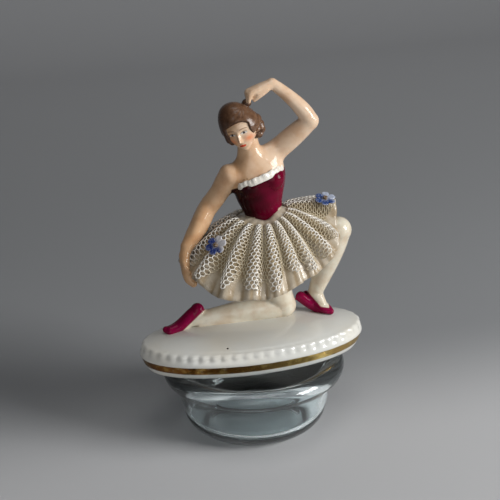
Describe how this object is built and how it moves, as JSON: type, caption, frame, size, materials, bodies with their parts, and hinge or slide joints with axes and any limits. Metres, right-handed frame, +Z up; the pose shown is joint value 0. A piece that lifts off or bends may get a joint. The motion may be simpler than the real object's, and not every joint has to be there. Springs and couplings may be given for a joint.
{
  "type": "trinket jar",
  "caption": "Round thick-lipped clear glass trinket jar with a lift-off oval porcelain lid carrying a kneeling dancer in a lace tutu, one arm raised to the hair.",
  "frame": {"origin": "centre of the ring that the glass jar stands on", "axes": "+Z up; +X along the oval lid towards the dancer's raised knee; -Y is the side the dancer faces"},
  "size_m": [0.0884, 0.0708, 0.1362],
  "materials": {
    "jar_glass": "clear polished",
    "white_glaze": "gloss glaze with a gilt line",
    "flesh_glaze": "gloss glaze, painted",
    "stocking_glaze": "gloss glaze, painted slippers",
    "hair_glaze": "gloss glaze, painted",
    "underskirt_glaze": "gloss glaze",
    "lace_porcelain": "open lace dipped in slip and fired",
    "flower_glaze": "gloss glaze, painted",
    "flower_centre_glaze": "gloss glaze, painted"
  },
  "bodies": {
    "jar": {"glass_jar": "jar_glass"},
    "lid": {"plinth": "white_glaze", "torso": "flesh_glaze", "kneeling_leg": "stocking_glaze", "standing_leg": "stocking_glaze", "head": "flesh_glaze", "hair_bun": "hair_glaze", "underskirt": "underskirt_glaze", "lace_overskirt": "lace_porcelain", "raised_arm": "flesh_glaze", "lowered_arm": "flesh_glaze", "neckline_frill": "lace_porcelain", "left_flower_petals": "flower_glaze", "left_flower_centre": "flower_centre_glaze", "right_flower_petals": "flower_glaze", "right_flower_centre": "flower_centre_glaze"}
  },
  "joints": [
    {"name": "lid_lift", "type": "slide", "parent": "jar", "child": "lid", "axis": [0, 0, 1], "range_m": [0, 0.06]}
  ]
}
